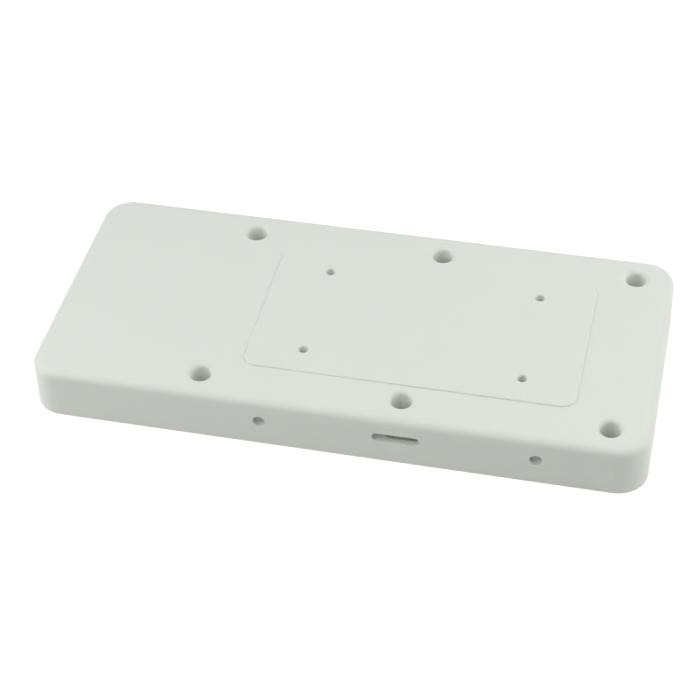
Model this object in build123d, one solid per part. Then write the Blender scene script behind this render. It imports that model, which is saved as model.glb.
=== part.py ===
from build123d import *
import os
from math import cos, radians, sin, tan

# Back shell of a shallow electronics case, injection moulded in one piece.
# Millimetres. The open rim lies on Z = 0 and the closed back faces +Z.
# X runs along the length, and the long wall with the window faces -Y.
# The origin is the middle of the rim's rectangle.

# Shell, measured at the rim, where the drafted walls are widest
LENGTH = 170.0
WIDTH = 78.0
HEIGHT = 15.0
CORNER_RADIUS = 8.5
BACK_EDGE_RADIUS = 2.2
DRAFT_ANGLE = 1.5
WALL = 2.0
BACK_THICKNESS = 2.0
INNER_EDGE_RADIUS = 0.8

# Half-lap round the inside of the rim, which the front shell's tongue enters
LAP_DEPTH = 1.5
LAP_WIDTH = 0.9

# Screw posts: three columns in two rows, set out from the right-hand end
POST_END_INSET = 11.0
POST_SIDE_INSET = 8.75
POST_PITCH = 55.6
POST_COLUMNS = 3
HEAD_BORE_RADIUS = 2.85
HEAD_BORE_DEPTH = 8.0
HEAD_BORE_MOUTH = 1.2
HEAD_BORE_FLATS = 4
SCREW_HOLE_RADIUS = 1.7
POST_WALL = 1.6
POST_TIP_GAP = 0.2
POST_DRAFT = 0.5
ROOT_CHAMFER = 0.6

# Webs from the posts to the walls, and ribs across the back between the posts
WEB_THICKNESS = 1.4
WEB_SETBACK = 1.0
RIB_THICKNESS = 1.2
RIB_HEIGHT = 2.0
GUSSET = 1.0

# Raised fixing pad on the back, with four holes in short bosses
PAD_LENGTH = 91.0
PAD_WIDTH = 50.0
PAD_RISE = 0.5
PAD_CORNER_RADIUS = 4.0
PAD_EDGE_CHAMFER = 0.2
PAD_HOLE_SPACING_X = 60.4
PAD_HOLE_SPACING_Y = 33.0
PAD_HOLE_RADIUS = 1.3
PAD_BOSS_WALL = 1.5
PAD_BOSS_HEIGHT = 3.0
PAD_HOLE_MOUTH = 0.4
PAD_HOLE_FLATS = 2

# Holes through the long front wall: two round ones and a window between them
SIDE_HOLE_SPACING = 75.0
SIDE_HOLE_RADIUS = 1.75
SIDE_HOLE_HEIGHT = 7.9
WINDOW_LENGTH = 12.8
WINDOW_HEIGHT = 3.0
WINDOW_MIDDLE_HEIGHT = 8.2
WINDOW_END_RADIUS = 1.2

# How far a cutter runs past the face that it opens
OVERCUT = 0.5

# Places worked out from the sizes above
ROOF = HEIGHT - BACK_THICKNESS
DRAFT_SHIFT = HEIGHT * tan(radians(DRAFT_ANGLE))
PAD_TOP = HEIGHT + PAD_RISE
POST_RADIUS = HEAD_BORE_RADIUS + POST_WALL
POST_Y = WIDTH / 2 - POST_SIDE_INSET
MIDDLE_X = LENGTH / 2 - POST_END_INSET - POST_PITCH * (POST_COLUMNS - 1) / 2
PAD_BOSS_RADIUS = PAD_HOLE_RADIUS + PAD_BOSS_WALL
WEB_END_INSET = (WALL + DRAFT_SHIFT) / 2


def post_columns():
    """X of each column of posts, from left to right."""
    first = LENGTH / 2 - POST_END_INSET - POST_PITCH * (POST_COLUMNS - 1)
    return [first + POST_PITCH * column for column in range(POST_COLUMNS)]


def drafted_block(inset, height, edge_radius):
    """A rounded block that stands on the rim plane and narrows upwards with the draft."""
    plan = RectangleRounded(LENGTH - 2 * inset, WIDTH - 2 * inset, CORNER_RADIUS - inset)
    block = extrude(plan, height, taper=DRAFT_ANGLE)
    return fillet(block.faces().sort_by(Axis.Z)[-1].edges(), edge_radius)


def lap_cutter():
    """The step that the half-lap takes out of the inside of the rim."""
    inset = WALL - LAP_WIDTH
    plan = RectangleRounded(LENGTH - 2 * inset, WIDTH - 2 * inset, CORNER_RADIUS - inset)
    return Pos(0, 0, -OVERCUT) * extrude(plan, LAP_DEPTH + OVERCUT)


def fixing_pad():
    """The low raised rectangle on the back, sunk half-way into it so that the two join."""
    sunk = BACK_THICKNESS / 2
    plan = RectangleRounded(PAD_LENGTH, PAD_WIDTH, PAD_CORNER_RADIUS)
    pad = extrude(plan, PAD_RISE + sunk)
    pad = chamfer(pad.faces().sort_by(Axis.Z)[-1].edges(), PAD_EDGE_CHAMFER)
    return Pos(MIDDLE_X, 0, HEIGHT - sunk) * pad


def turned(*outline):
    """The solid of revolution about Z of a closed outline of (radius, height) points."""
    return revolve(Plane.XZ * make_face(Polyline(*outline, close=True)), Axis.Z)


def boss(radius, tip_z):
    """A round boss under the back, drafted to its tip and chamfered where it meets the roof."""
    tip_radius = radius - tan(radians(POST_DRAFT)) * (ROOF - tip_z)
    root_radius = radius + ROOT_CHAMFER
    sunk_z = ROOF + BACK_THICKNESS / 2
    return turned(
        (0, tip_z),
        (tip_radius, tip_z),
        (radius, ROOF - ROOT_CHAMFER),
        (root_radius, ROOF),
        (root_radius, sunk_z),
        (0, sunk_z),
    )


def bore(radius, mouth_z, depth, mouth, flats):
    """A round cutter down from mouth_z, its mouth eased over a quarter round in narrow flats."""
    turns = [radians(90) * step / flats for step in range(flats + 1)]
    eased = [(radius + mouth * (1 - cos(a)), mouth_z - mouth * (1 - sin(a))) for a in turns]
    return turned(
        (0, mouth_z - depth),
        (radius, mouth_z - depth),
        *eased,
        (radius + mouth, mouth_z + OVERCUT),
        (0, mouth_z + OVERCUT),
    )


def wall_web(column_x, side, toward):
    """A thin web from a post to the middle of the wall beside it, set back from the rim."""
    foot_z = LAP_DEPTH + WEB_SETBACK
    height = ROOF + BACK_THICKNESS / 2 - foot_z
    middle_z = foot_z + height / 2
    if toward == "side":
        reach = POST_SIDE_INSET - WEB_END_INSET
        place = Pos(column_x, side * (POST_Y + reach / 2), middle_z)
        return place * Box(WEB_THICKNESS, reach, height)
    reach = POST_END_INSET - WEB_END_INSET
    place = Pos(column_x + reach / 2, side * POST_Y, middle_z)
    return place * Box(reach, WEB_THICKNESS, height)


def cross_rib(column_x):
    """A low rib across the roof between two posts, rising in a gusset at each post."""
    run_up = POST_Y - POST_RADIUS - GUSSET
    low = ROOF - RIB_HEIGHT
    root = ROOF + BACK_THICKNESS / 2
    outline = Polyline(
        (-POST_Y, root),
        (-POST_Y, low - GUSSET),
        (-run_up - GUSSET, low - GUSSET),
        (-run_up, low),
        (run_up, low),
        (run_up + GUSSET, low - GUSSET),
        (POST_Y, low - GUSSET),
        (POST_Y, root),
        close=True,
    )
    plate = extrude(Plane.YZ * make_face(outline), RIB_THICKNESS / 2, both=True)
    return Pos(column_x, 0, 0) * plate


def screw_posts():
    """Six posts with the webs and ribs that hold them."""
    pieces = []
    for column_x in post_columns():
        pieces.append(cross_rib(column_x))
        for side in (-1, 1):
            pieces.append(Pos(column_x, side * POST_Y, 0) * boss(POST_RADIUS, POST_TIP_GAP))
            behind_window = side < 0 and abs(column_x - MIDDLE_X) < WINDOW_LENGTH / 2
            if not behind_window:
                pieces.append(wall_web(column_x, side, "side"))
    for side in (-1, 1):
        pieces.append(wall_web(post_columns()[-1], side, "end"))
    return pieces


def post_bores():
    """Counterbore and screw hole of each post."""
    seat_z = HEIGHT - HEAD_BORE_DEPTH
    head = bore(HEAD_BORE_RADIUS, HEIGHT, HEAD_BORE_DEPTH, HEAD_BORE_MOUTH, HEAD_BORE_FLATS)
    hole = Pos(0, 0, seat_z / 2) * Cylinder(SCREW_HOLE_RADIUS, seat_z + 2 * OVERCUT)
    spots = [(column_x, side * POST_Y) for column_x in post_columns() for side in (-1, 1)]
    return [Pos(x, y, 0) * cutter for x, y in spots for cutter in (head, hole)]


def pad_spots():
    """Centre of each hole in the fixing pad."""
    half_x = PAD_HOLE_SPACING_X / 2
    half_y = PAD_HOLE_SPACING_Y / 2
    return [(MIDDLE_X + sx * half_x, sy * half_y) for sx in (-1, 1) for sy in (-1, 1)]


def pad_bosses():
    """Short bosses that lengthen the pad's holes inside the case."""
    return [Pos(x, y, 0) * boss(PAD_BOSS_RADIUS, ROOF - PAD_BOSS_HEIGHT) for x, y in pad_spots()]


def pad_bores():
    """The pad's four holes, right through pad, back and boss."""
    depth = PAD_TOP - ROOF + PAD_BOSS_HEIGHT + OVERCUT
    cutter = bore(PAD_HOLE_RADIUS, PAD_TOP, depth, PAD_HOLE_MOUTH, PAD_HOLE_FLATS)
    return [Pos(x, y, 0) * cutter for x, y in pad_spots()]


def front_wall_cutters():
    """The round holes and the window in the front wall, ending short of the post behind it."""
    inner_y = -WIDTH / 2 + WALL + DRAFT_SHIFT + OVERCUT
    depth = WALL + DRAFT_SHIFT + 2 * OVERCUT
    face = Plane(origin=(MIDDLE_X, inner_y, 0), x_dir=(1, 0, 0), z_dir=(0, -1, 0))
    round_hole = Circle(SIDE_HOLE_RADIUS)
    window = RectangleRounded(WINDOW_LENGTH, WINDOW_HEIGHT, WINDOW_END_RADIUS)
    plans = [Pos(side * SIDE_HOLE_SPACING / 2, SIDE_HOLE_HEIGHT) * round_hole for side in (-1, 1)]
    plans.append(Pos(0, WINDOW_MIDDLE_HEIGHT) * window)
    return [extrude(face * plan, depth) for plan in plans]


def housing():
    """The whole moulding."""
    shell = drafted_block(0, HEIGHT, BACK_EDGE_RADIUS)
    shell -= drafted_block(WALL, ROOF, INNER_EDGE_RADIUS)
    shell -= lap_cutter()
    shell += [fixing_pad()] + screw_posts() + pad_bosses()
    shell -= post_bores() + pad_bores() + front_wall_cutters()
    return shell


os.makedirs("parts", exist_ok=True)
body = housing()
body.label = "housing"
export_step(body, "parts/housing.step")
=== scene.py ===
import logging
import math
from dataclasses import dataclass
from enum import Enum

import bpy
from mathutils import Matrix, Vector


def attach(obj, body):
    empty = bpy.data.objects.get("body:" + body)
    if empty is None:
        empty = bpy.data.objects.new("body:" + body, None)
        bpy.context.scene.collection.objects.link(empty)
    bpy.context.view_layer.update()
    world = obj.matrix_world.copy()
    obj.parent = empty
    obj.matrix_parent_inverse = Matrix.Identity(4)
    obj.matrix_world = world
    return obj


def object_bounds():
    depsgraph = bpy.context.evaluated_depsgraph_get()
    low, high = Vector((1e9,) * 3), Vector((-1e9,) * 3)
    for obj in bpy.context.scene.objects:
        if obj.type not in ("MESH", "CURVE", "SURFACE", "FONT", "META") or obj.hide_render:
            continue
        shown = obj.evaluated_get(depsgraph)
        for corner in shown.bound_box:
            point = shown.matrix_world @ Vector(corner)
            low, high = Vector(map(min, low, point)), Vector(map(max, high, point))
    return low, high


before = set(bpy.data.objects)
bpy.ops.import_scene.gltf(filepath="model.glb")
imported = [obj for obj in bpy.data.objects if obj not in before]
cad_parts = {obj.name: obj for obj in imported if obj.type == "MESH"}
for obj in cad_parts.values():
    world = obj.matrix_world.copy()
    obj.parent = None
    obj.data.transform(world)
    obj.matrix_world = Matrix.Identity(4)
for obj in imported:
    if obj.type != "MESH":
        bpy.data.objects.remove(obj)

CAD_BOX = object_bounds()
HOUSING_NODE = "housing"
WHITE = (1.0, 1.0, 1.0, 1.0)
log = logging.getLogger("housing_scene")


class MouldHalf(Enum):
    """The two halves of the mould, by how fine a texture each leaves, in cells to a metre."""

    CAVITY = 5200.0
    CORE = 1500.0


@dataclass(frozen=True)
class ShellPlan:
    """The shell's outline at the rim, by which a point is told to lie inside or outside it."""

    corner_radius: float = 0.0085
    inner_inset: float = 0.0011
    roof_height: float = 0.0131
    beyond_any_height: float = 1.0

    def corner_centre(self) -> tuple[float, float, float]:
        """Gives the middle of a corner's arc, with no limit in height."""
        half_length, half_width, _ = CAD_BOX[1]
        radius = self.corner_radius
        return (half_length - radius, half_width - radius, self.beyond_any_height)


@dataclass(frozen=True)
class MouldedPlastic:
    """Off-white moulded plastic with a satin skin."""

    name: str = "moulded_plastic"
    colour: tuple[float, float, float] = (0.808, 0.842, 0.778)
    shade: tuple[float, float, float] = (0.792, 0.826, 0.762)
    cloud_scale: float = 38.0
    roughness: float = 0.6
    core_roughness: float = 0.48
    roughness_spread: float = 0.06
    specular: float = 0.2
    subsurface: float = 0.25
    subsurface_reach: float = 0.0012
    subsurface_tint: tuple[float, float, float] = (1.0, 0.9, 0.8)
    grain_detail: float = 3.0
    grain_strength: float = 0.05
    grain_depth: float = 0.00002
    draw_stretch: float = 0.04
    plan: ShellPlan = ShellPlan()

    def build(self, groups: "FinishGroups") -> bpy.types.Material:
        """Builds the material's node tree.

        Args:
            groups: the shared shader groups.

        Returns:
            The finished material.
        """
        material = bpy.data.materials.new(self.name)
        material.use_nodes = True
        nodes = material.node_tree.nodes
        links = material.node_tree.links
        shader = nodes["Principled BSDF"]
        shader.inputs["Specular IOR Level"].default_value = self.specular
        shader.inputs["Subsurface Weight"].default_value = self.subsurface
        shader.inputs["Subsurface Radius"].default_value = self.subsurface_tint
        shader.inputs["Subsurface Scale"].default_value = self.subsurface_reach
        coords = nodes.new("ShaderNodeTexCoord").outputs["Object"]
        core = groups.place(material, groups.core_side, {
            "Corner Centre": self.plan.corner_centre(),
            "Inner Reach": self.plan.corner_radius - self.plan.inner_inset,
            "Roof Height": self.plan.roof_height,
        })
        cloud = groups.place(material, groups.melt_cloud, {
            "Colour": (*self.colour, 1.0),
            "Shade": (*self.shade, 1.0),
            "Scale": self.cloud_scale,
            "Cavity Roughness": self.roughness,
            "Core Roughness": self.core_roughness,
            "Spread": self.roughness_spread,
        })
        grain = groups.place(material, groups.mould_grain, {
            "Cavity Scale": MouldHalf.CAVITY.value,
            "Core Scale": MouldHalf.CORE.value,
            "Draw Stretch": (1.0, 1.0, self.draw_stretch),
            "Detail": self.grain_detail,
        })
        bump = nodes.new("ShaderNodeBump")
        bump.inputs["Strength"].default_value = self.grain_strength
        bump.inputs["Distance"].default_value = self.grain_depth
        for group in (core, cloud, grain):
            links.new(coords, group.inputs["Vector"])
        for group in (cloud, grain):
            links.new(core.outputs["Core"], group.inputs["Core"])
        links.new(cloud.outputs["Colour"], shader.inputs["Base Color"])
        links.new(cloud.outputs["Roughness"], shader.inputs["Roughness"])
        links.new(grain.outputs["Height"], bump.inputs["Height"])
        links.new(bump.outputs["Normal"], shader.inputs["Normal"])
        return material


class SumKind(Enum):
    """The nodes that work out a sum, each with the name of the output that is used."""

    NUMBER = ("ShaderNodeMath", "Value")
    VECTOR = ("ShaderNodeVectorMath", "Vector")
    LENGTH = ("ShaderNodeVectorMath", "Value")


class FinishGroups:
    """The shader groups that the finishes and the floor share."""

    noise_middle: float = 0.5

    def __init__(self) -> None:
        """Builds every group once."""
        self.plan_reach = self._plan_reach_group()
        self.core_side = self._core_side_group()
        self.melt_cloud = self._melt_cloud_group()
        self.mould_grain = self._mould_grain_group()

    @staticmethod
    def place(
        owner: bpy.types.Material, group: bpy.types.NodeTree, values: dict[str, object]
    ) -> bpy.types.ShaderNode:
        """Sets a group into a material.

        Args:
            owner: the material.
            group: the group.
            values: the values of its inputs, by name.

        Returns:
            The group's node.
        """
        node = owner.node_tree.nodes.new("ShaderNodeGroup")
        node.node_tree = group
        for name, value in values.items():
            node.inputs[name].default_value = value
        return node

    @staticmethod
    def _start(name: str, inputs: dict[str, str], outputs: dict[str, str]) -> bpy.types.NodeTree:
        """Starts a group with its sockets.

        Args:
            name: the group's name.
            inputs: the kind of each input, by name.
            outputs: the kind of each output, by name.

        Returns:
            The group, with its input and output nodes.
        """
        tree = bpy.data.node_groups.new(name, "ShaderNodeTree")
        for in_out, sockets in (("INPUT", inputs), ("OUTPUT", outputs)):
            for label, kind in sockets.items():
                tree.interface.new_socket(label, in_out=in_out, socket_type=f"NodeSocket{kind}")
        tree.nodes.new("NodeGroupInput")
        tree.nodes.new("NodeGroupOutput")
        return tree

    @staticmethod
    def work_out(
        tree: bpy.types.NodeTree,
        operation: str,
        *values: bpy.types.NodeSocket | float,
        kind: SumKind = SumKind.NUMBER,
    ) -> bpy.types.NodeSocket:
        """Adds one node that works out a sum.

        Args:
            tree: the tree that it joins.
            operation: its operation.
            values: a socket or a number for each of its inputs.
            kind: what the sum is made of and gives.

        Returns:
            Its result.
        """
        node = tree.nodes.new(kind.value[0])
        node.operation = operation
        for socket, value in zip(node.inputs, values):
            if isinstance(value, float):
                socket.default_value = value
            else:
                tree.links.new(value, socket)
        return node.outputs[kind.value[1]]

    def _plan_reach_group(self) -> bpy.types.NodeTree:
        """Makes the group that tells how far a point lies from a rounded outline's inner frame.

        Returns:
            The node group.
        """
        tree = self._start(
            "plan_reach", {"Vector": "Vector", "Corner Centre": "Vector"}, {"Reach": "Float"}
        )
        given, result = tree.nodes["Group Input"], tree.nodes["Group Output"]
        centre = given.outputs["Corner Centre"]
        folded = self.work_out(tree, "ABSOLUTE", given.outputs["Vector"], kind=SumKind.VECTOR)
        past = self.work_out(tree, "SUBTRACT", folded, centre, kind=SumKind.VECTOR)
        clipped = self.work_out(tree, "MAXIMUM", past, kind=SumKind.VECTOR)
        reach = self.work_out(tree, "LENGTH", clipped, kind=SumKind.LENGTH)
        tree.links.new(reach, result.inputs["Reach"])
        return tree

    def _core_side_group(self) -> bpy.types.NodeTree:
        """Makes the group that masks the faces that the mould's core shaped.

        Returns:
            The node group.
        """
        tree = self._start(
            "core_side",
            {
                "Vector": "Vector",
                "Corner Centre": "Vector",
                "Inner Reach": "Float",
                "Roof Height": "Float",
            },
            {"Core": "Float"},
        )
        nodes, links = tree.nodes, tree.links
        given, result = nodes["Group Input"], nodes["Group Output"]
        plan = nodes.new("ShaderNodeGroup")
        plan.node_tree = self.plan_reach
        parts = nodes.new("ShaderNodeSeparateXYZ")
        links.new(given.outputs["Vector"], plan.inputs["Vector"])
        links.new(given.outputs["Corner Centre"], plan.inputs["Corner Centre"])
        links.new(given.outputs["Vector"], parts.inputs["Vector"])
        reach, height = plan.outputs["Reach"], parts.outputs["Z"]
        inside = self.work_out(tree, "LESS_THAN", reach, given.outputs["Inner Reach"])
        below = self.work_out(tree, "LESS_THAN", height, given.outputs["Roof Height"])
        links.new(self.work_out(tree, "MULTIPLY", inside, below), result.inputs["Core"])
        return tree

    def _melt_cloud_group(self) -> bpy.types.NodeTree:
        """Makes the group that clouds a colour and a roughness slowly over the surface.

        Returns:
            The node group.
        """
        tree = self._start(
            "melt_cloud",
            {
                "Vector": "Vector",
                "Core": "Float",
                "Colour": "Color",
                "Shade": "Color",
                "Scale": "Float",
                "Cavity Roughness": "Float",
                "Core Roughness": "Float",
                "Spread": "Float",
            },
            {"Colour": "Color", "Roughness": "Float"},
        )
        nodes, links = tree.nodes, tree.links
        given, result = nodes["Group Input"], nodes["Group Output"]
        noise = nodes.new("ShaderNodeTexNoise")
        tone = nodes.new("ShaderNodeMix")
        tone.data_type = "RGBA"
        gloss = nodes.new("ShaderNodeMix")
        links.new(given.outputs["Vector"], noise.inputs["Vector"])
        links.new(given.outputs["Scale"], noise.inputs["Scale"])
        links.new(noise.outputs["Fac"], tone.inputs["Factor"])
        links.new(given.outputs["Colour"], tone.inputs["A"])
        links.new(given.outputs["Shade"], tone.inputs["B"])
        links.new(given.outputs["Core"], gloss.inputs["Factor"])
        links.new(given.outputs["Cavity Roughness"], gloss.inputs["A"])
        links.new(given.outputs["Core Roughness"], gloss.inputs["B"])
        centred = self.work_out(tree, "SUBTRACT", noise.outputs["Fac"], self.noise_middle)
        rough = self.work_out(
            tree, "MULTIPLY_ADD", centred, given.outputs["Spread"], gloss.outputs["Result"]
        )
        links.new(tone.outputs["Result"], result.inputs["Colour"])
        links.new(rough, result.inputs["Roughness"])
        return tree

    def _mould_grain_group(self) -> bpy.types.NodeTree:
        """Makes the group that gives the height of spark grain outside and draw lines inside.

        Returns:
            The node group.
        """
        tree = self._start(
            "mould_grain",
            {
                "Vector": "Vector",
                "Core": "Float",
                "Cavity Scale": "Float",
                "Core Scale": "Float",
                "Draw Stretch": "Vector",
                "Detail": "Float",
            },
            {"Height": "Float"},
        )
        nodes, links = tree.nodes, tree.links
        given, result = nodes["Group Input"], nodes["Group Output"]
        point, stretch = given.outputs["Vector"], given.outputs["Draw Stretch"]
        stretched = self.work_out(tree, "MULTIPLY", point, stretch, kind=SumKind.VECTOR)
        sparks = nodes.new("ShaderNodeTexNoise")
        drawn = nodes.new("ShaderNodeTexNoise")
        height = nodes.new("ShaderNodeMix")
        links.new(point, sparks.inputs["Vector"])
        links.new(stretched, drawn.inputs["Vector"])
        links.new(given.outputs["Cavity Scale"], sparks.inputs["Scale"])
        links.new(given.outputs["Core Scale"], drawn.inputs["Scale"])
        for noise in (sparks, drawn):
            links.new(given.outputs["Detail"], noise.inputs["Detail"])
        links.new(given.outputs["Core"], height.inputs["Factor"])
        links.new(sparks.outputs["Fac"], height.inputs["A"])
        links.new(drawn.outputs["Fac"], height.inputs["B"])
        links.new(height.outputs["Result"], result.inputs["Height"])
        return tree


@dataclass
class Housing:
    """The moulded shell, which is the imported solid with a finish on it."""

    node: str = HOUSING_NODE

    def dress(self, material: bpy.types.Material) -> bpy.types.Object:
        """Gives the solid its finish.

        Args:
            material: the moulded plastic.

        Returns:
            The solid's object.
        """
        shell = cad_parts[self.node]
        for slot in shell.material_slots:
            slot.material = material
        return shell


@dataclass
class EjectorMarks:
    """The round marks that the mould's ejector pins left on the hidden inner face."""

    name: str = "ejector_marks"
    face_height: float = 0.013
    middle_x: float = -0.0094
    columns: int = 3
    column_pitch: float = 0.0556
    rows: int = 3
    row_pitch: float = 0.024
    pin_radius: float = 0.0025
    rise: float = 0.00006
    flash_radius: float = 0.0001
    pin_sides: int = 48
    flash_sides: int = 8

    def build(self, material: bpy.types.Material) -> bpy.types.Object:
        """Makes every mark as one plain mesh that belongs to the shell.

        Args:
            material: the shell's finish.

        Returns:
            The marks' object.
        """
        marks = bpy.data.objects.new(self.name, bpy.data.meshes.new(self.name))
        bpy.context.scene.collection.objects.link(marks)
        pattern = marks.modifiers.new(self.name, "NODES")
        pattern.node_group = self._pattern_tree(material)
        sizes = {
            "Columns": self.columns,
            "Rows": self.rows,
            "Length": self.column_pitch * (self.columns - 1),
            "Width": self.row_pitch * (self.rows - 1),
            "Centre": (self.middle_x, 0.0, self.face_height),
            "Pin Radius": self.pin_radius,
            "Thickness": 2 * self.rise,
            "Flash Radius": self.flash_radius,
        }
        for socket in pattern.node_group.interface.items_tree:
            if socket.in_out == "INPUT":
                pattern[socket.identifier] = sizes[socket.name]
        evaluated = marks.evaluated_get(bpy.context.evaluated_depsgraph_get())
        plain = bpy.data.meshes.new_from_object(evaluated)
        marks.modifiers.remove(pattern)
        marks.data = plain
        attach(marks, "root")
        return marks

    def _pattern_tree(self, material: bpy.types.Material) -> bpy.types.NodeTree:
        """Makes the tree that sets one mark on each point of a grid.

        Args:
            material: the finish that the marks get.

        Returns:
            The geometry node tree.
        """
        tree = bpy.data.node_groups.new("ejector_pattern", "GeometryNodeTree")
        face = tree.interface
        face.new_socket("Geometry", in_out="OUTPUT", socket_type="NodeSocketGeometry")
        for name in ("Columns", "Rows"):
            face.new_socket(name, in_out="INPUT", socket_type="NodeSocketInt")
        for name in ("Length", "Width", "Pin Radius", "Thickness", "Flash Radius"):
            face.new_socket(name, in_out="INPUT", socket_type="NodeSocketFloat")
        face.new_socket("Centre", in_out="INPUT", socket_type="NodeSocketVector")
        nodes, links = tree.nodes, tree.links
        given = nodes.new("NodeGroupInput")
        result = nodes.new("NodeGroupOutput")
        mark = nodes.new("GeometryNodeJoinGeometry")
        links.new(self._pin_disc(tree, given), mark.inputs["Geometry"])
        links.new(self._pin_flash(tree, given), mark.inputs["Geometry"])
        spread = nodes.new("GeometryNodeInstanceOnPoints")
        links.new(self._pin_places(tree, given), spread.inputs["Points"])
        links.new(mark.outputs["Geometry"], spread.inputs["Instance"])
        real = nodes.new("GeometryNodeRealizeInstances")
        links.new(spread.outputs["Instances"], real.inputs["Geometry"])
        finish = nodes.new("GeometryNodeSetMaterial")
        finish.inputs["Material"].default_value = material
        links.new(real.outputs["Geometry"], finish.inputs["Geometry"])
        links.new(finish.outputs["Geometry"], result.inputs["Geometry"])
        return tree

    @staticmethod
    def _pin_places(tree: bpy.types.NodeTree, given: bpy.types.Node) -> bpy.types.NodeSocket:
        """Adds the grid of points on the inner face, one for each pin.

        Args:
            tree: the tree that the nodes join.
            given: the tree's named inputs.

        Returns:
            The points.
        """
        grid = tree.nodes.new("GeometryNodeMeshGrid")
        sources = {"Size X": "Length", "Size Y": "Width", "Vertices X": "Columns", "Vertices Y": "Rows"}
        for label, source in sources.items():
            tree.links.new(given.outputs[source], grid.inputs[label])
        moved = tree.nodes.new("GeometryNodeTransform")
        tree.links.new(grid.outputs["Mesh"], moved.inputs["Geometry"])
        tree.links.new(given.outputs["Centre"], moved.inputs["Translation"])
        return moved.outputs["Geometry"]

    def _pin_disc(self, tree: bpy.types.NodeTree, given: bpy.types.Node) -> bpy.types.NodeSocket:
        """Adds the low disc of one mark, half of it sunk in the face.

        Args:
            tree: the tree that the node joins.
            given: the tree's named inputs.

        Returns:
            The disc.
        """
        disc = tree.nodes.new("GeometryNodeMeshCylinder")
        disc.inputs["Vertices"].default_value = self.pin_sides
        tree.links.new(given.outputs["Pin Radius"], disc.inputs["Radius"])
        tree.links.new(given.outputs["Thickness"], disc.inputs["Depth"])
        return disc.outputs["Mesh"]

    def _pin_flash(self, tree: bpy.types.NodeTree, given: bpy.types.Node) -> bpy.types.NodeSocket:
        """Adds the thin bead of flash round one mark.

        Args:
            tree: the tree that the nodes join.
            given: the tree's named inputs.

        Returns:
            The bead.
        """
        circles = []
        for radius, sides in (("Pin Radius", self.pin_sides), ("Flash Radius", self.flash_sides)):
            circle = tree.nodes.new("GeometryNodeCurvePrimitiveCircle")
            circle.inputs["Resolution"].default_value = sides
            tree.links.new(given.outputs[radius], circle.inputs["Radius"])
            circles.append(circle.outputs["Curve"])
        flash = tree.nodes.new("GeometryNodeCurveToMesh")
        for circle, label in zip(circles, ("Curve", "Profile Curve")):
            tree.links.new(circle, flash.inputs[label])
        return flash.outputs["Mesh"]


class LampTint(Enum):
    """Colour of a lamp's diffuser."""

    COOL = (0.92, 1.0, 1.12)
    PLAIN = (1.0, 1.0, 1.0)


@dataclass(frozen=True)
class SoftLamp:
    """One square soft lamp that faces the middle of the rim."""

    name: str
    place: tuple[float, float, float]
    size: float
    power: float
    tint: LampTint = LampTint.PLAIN

    def hang(self) -> bpy.types.Object:
        """Makes the lamp and turns it to the object.

        Returns:
            The lamp's object.
        """
        data = bpy.data.lights.new(self.name, "AREA")
        data.energy = self.power
        data.size = self.size
        data.color = self.tint.value
        lamp = bpy.data.objects.new(self.name, data)
        place = Vector(self.place)
        lamp.location = place
        lamp.rotation_euler = (-place).to_track_quat("-Z", "Y").to_euler()
        lamp.visible_camera = False
        bpy.context.scene.collection.objects.link(lamp)
        return lamp


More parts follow.
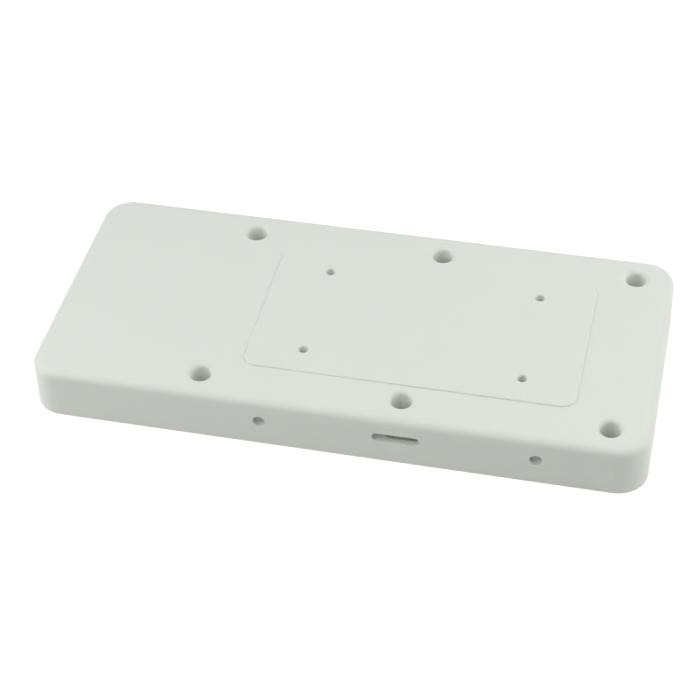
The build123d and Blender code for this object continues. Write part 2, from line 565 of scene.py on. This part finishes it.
@dataclass
class Studio:
    """Floor, lamps and world of a small light tent with an opal table lit from below."""

    groups: FinishGroups
    plan: ShellPlan = ShellPlan()
    floor_size: float = 8.0
    floor_colour: tuple[float, float, float] = (0.75, 0.75, 0.75)
    floor_roughness: float = 0.9
    floor_share: float = 0.15
    lift_near: float = 0.45
    lift_far: float = 1.0
    fade_length: float = 0.1
    rim_overlap: float = 0.001
    world_level: float = 0.1
    lamps: tuple[SoftLamp, ...] = (
        SoftLamp("front_high", (0.0, -0.55, 0.9526), 0.6, 1.69),
        SoftLamp("left_side", (-0.9526, 0.0, 0.55), 0.6, 4.25),
        SoftLamp("right_side", (0.9526, 0.0, 0.55), 0.6, 1.9),
        SoftLamp("back", (0.0, 0.9526, 0.55), 0.6, 1.21, LampTint.COOL),
        SoftLamp("near_front_left", (-0.25, -0.35, 0.35), 0.3, 0.673),
        SoftLamp("near_right", (0.35, 0.0, 0.4), 0.3, 0.719),
        SoftLamp("near_left", (-0.25, -0.05, 0.12), 0.15, 0.04, LampTint.COOL),
        SoftLamp("low_back_right", (0.5, 0.3, 0.22), 0.42, 0.75),
        SoftLamp("under_table", (0.0, 0.0, -0.6), 1.2, 6.5),
    )

    def build(self) -> None:
        """Makes the floor, the world and the lamps."""
        self._floor()
        self._world()
        for lamp in self.lamps:
            lamp.hang()

    def _floor(self) -> None:
        """Lays a pale floor on the rim plane."""
        half = self.floor_size / 2
        mesh = bpy.data.meshes.new("studio_floor")
        corners = [(-half, -half, 0.0), (half, -half, 0.0), (half, half, 0.0), (-half, half, 0.0)]
        mesh.from_pydata(corners, [], [(0, 1, 2, 3)])
        mesh.materials.append(self._floor_finish())
        floor = bpy.data.objects.new("studio_floor", mesh)
        bpy.context.scene.collection.objects.link(floor)

    def _floor_finish(self) -> bpy.types.Material:
        """Makes the floor's finish, which looks near white and keeps the housing's shadow.

        A share of the light passes up through it, and seen from below it is clear, so that
        the open side of the housing shows.

        Returns:
            The floor's material.
        """
        material = bpy.data.materials.new("studio_floor")
        material.use_nodes = True
        tree = material.node_tree
        shader = tree.nodes["Principled BSDF"]
        shader.inputs["Base Color"].default_value = (*self.floor_colour, 1.0)
        shader.inputs["Roughness"].default_value = self.floor_roughness
        shader.inputs["Specular IOR Level"].default_value = 0.0
        shader.inputs["Emission Color"].default_value = WHITE
        lift = self._floor_lift(material)
        shown = self.groups.work_out(tree, "MULTIPLY", self._seen(tree), lift)
        clear = tree.nodes.new("ShaderNodeBsdfTransparent")
        side = tree.nodes.new("ShaderNodeNewGeometry")
        passed = self.groups.work_out(tree, "MAXIMUM", side.outputs["Backfacing"], self.floor_share)
        sheet = tree.nodes.new("ShaderNodeMixShader")
        tree.links.new(shown, shader.inputs["Emission Strength"])
        tree.links.new(passed, sheet.inputs["Fac"])
        tree.links.new(shader.outputs["BSDF"], sheet.inputs[1])
        tree.links.new(clear.outputs["BSDF"], sheet.inputs[2])
        tree.links.new(sheet.outputs["Shader"], tree.nodes["Material Output"].inputs["Surface"])
        return material

    def _world(self) -> None:
        """Fills the world with an even grey that is white where it is seen or reflected."""
        world = bpy.data.worlds.new("studio_world")
        world.use_nodes = True
        nodes, links = world.node_tree.nodes, world.node_tree.links
        ground = nodes["Background"]
        ground.inputs["Color"].default_value = WHITE
        level = nodes.new("ShaderNodeMix")
        level.inputs["A"].default_value = self.world_level
        level.inputs["B"].default_value = 1.0
        links.new(self._seen(world.node_tree), level.inputs["Factor"])
        links.new(level.outputs["Result"], ground.inputs["Strength"])
        bpy.context.scene.world = world

    def _seen(self, tree: bpy.types.NodeTree) -> bpy.types.NodeSocket:
        """Adds the nodes that tell whether a ray shows a surface rather than lights one.

        Args:
            tree: the tree that the nodes join.

        Returns:
            A value of 1 for camera, glossy and transmission rays, and 0 for the others.
        """
        path = tree.nodes.new("ShaderNodeLightPath")
        shown = path.outputs["Is Camera Ray"]
        for ray in ("Is Glossy Ray", "Is Transmission Ray"):
            shown = self.groups.work_out(tree, "MAXIMUM", shown, path.outputs[ray])
        return shown

    def _floor_lift(self, material: bpy.types.Material) -> bpy.types.NodeSocket:
        """Adds the nodes that say how much whiter than its shade each point of the floor looks.

        Args:
            material: the floor's material, which the nodes join.

        Returns:
            The lift: none under the housing, middling round its rim and full farther out.
        """
        tree = material.node_tree
        rim = self.plan.corner_radius
        plan = self.groups.place(
            material, self.groups.plan_reach, {"Corner Centre": self.plan.corner_centre()}
        )
        coords = tree.nodes.new("ShaderNodeTexCoord")
        fade = tree.nodes.new("ShaderNodeMapRange")
        fade.interpolation_type = "SMOOTHSTEP"
        fade.inputs["From Min"].default_value = rim
        fade.inputs["From Max"].default_value = rim + self.fade_length
        fade.inputs["To Min"].default_value = self.lift_near
        fade.inputs["To Max"].default_value = self.lift_far
        tree.links.new(coords.outputs["Object"], plan.inputs["Vector"])
        reach = plan.outputs["Reach"]
        tree.links.new(reach, fade.inputs["Value"])
        outside = self.groups.work_out(tree, "GREATER_THAN", reach, rim - self.rim_overlap)
        return self.groups.work_out(tree, "MULTIPLY", outside, fade.outputs["Result"])


@dataclass
class ViewCamera:
    """The camera, by its bearing, height, roll and distance from the rim's middle."""

    azimuth: float = 14.21
    elevation: float = 43.13
    roll: float = -2.27
    distance: float = 0.52565
    aim_right: float = 0.00279
    aim_up: float = -0.00143
    focal_pixels: float = 1846.25
    picture_pixels: float = 700.0
    sensor: float = 36.0
    nearest: float = 0.01

    def build(self) -> bpy.types.Object:
        """Makes the camera and hands it to the scene.

        Returns:
            The camera's object.
        """
        turn = math.radians(self.azimuth)
        rise = math.radians(self.elevation)
        lean = math.radians(self.roll)
        back = Vector((
            math.sin(turn) * math.cos(rise),
            -math.cos(turn) * math.cos(rise),
            math.sin(rise),
        ))
        level = Vector((math.cos(turn), math.sin(turn), 0.0))
        upright = back.cross(level)
        right = math.cos(lean) * level + math.sin(lean) * upright
        top = math.cos(lean) * upright - math.sin(lean) * level
        data = bpy.data.cameras.new("view_camera")
        data.sensor_width = self.sensor
        data.lens = self.focal_pixels / self.picture_pixels * self.sensor
        data.clip_start = self.nearest
        camera = bpy.data.objects.new("view_camera", data)
        place = self.distance * back - self.aim_right * right - self.aim_up * top
        pose = Matrix((right, top, back)).transposed().to_4x4()
        camera.matrix_world = Matrix.Translation(place) @ pose
        bpy.context.scene.collection.objects.link(camera)
        bpy.context.scene.camera = camera
        return camera


def main() -> None:
    """Builds the object, then the studio and the camera."""
    logging.basicConfig(level=logging.INFO)
    bpy.context.scene.view_settings.view_transform = "Standard"
    groups = FinishGroups()
    plastic = MouldedPlastic().build(groups)
    shell = Housing().dress(plastic)
    log.info("dressed %s", shell.name)
    marks = EjectorMarks().build(plastic)
    log.info("made %s with %d faces", marks.name, len(marks.data.polygons))
    studio = Studio(groups)
    studio.build()
    log.info("made the studio with %d lamps", len(studio.lamps))
    camera = ViewCamera().build()
    log.info("made %s", camera.name)


if __name__ == "__main__":
    main()
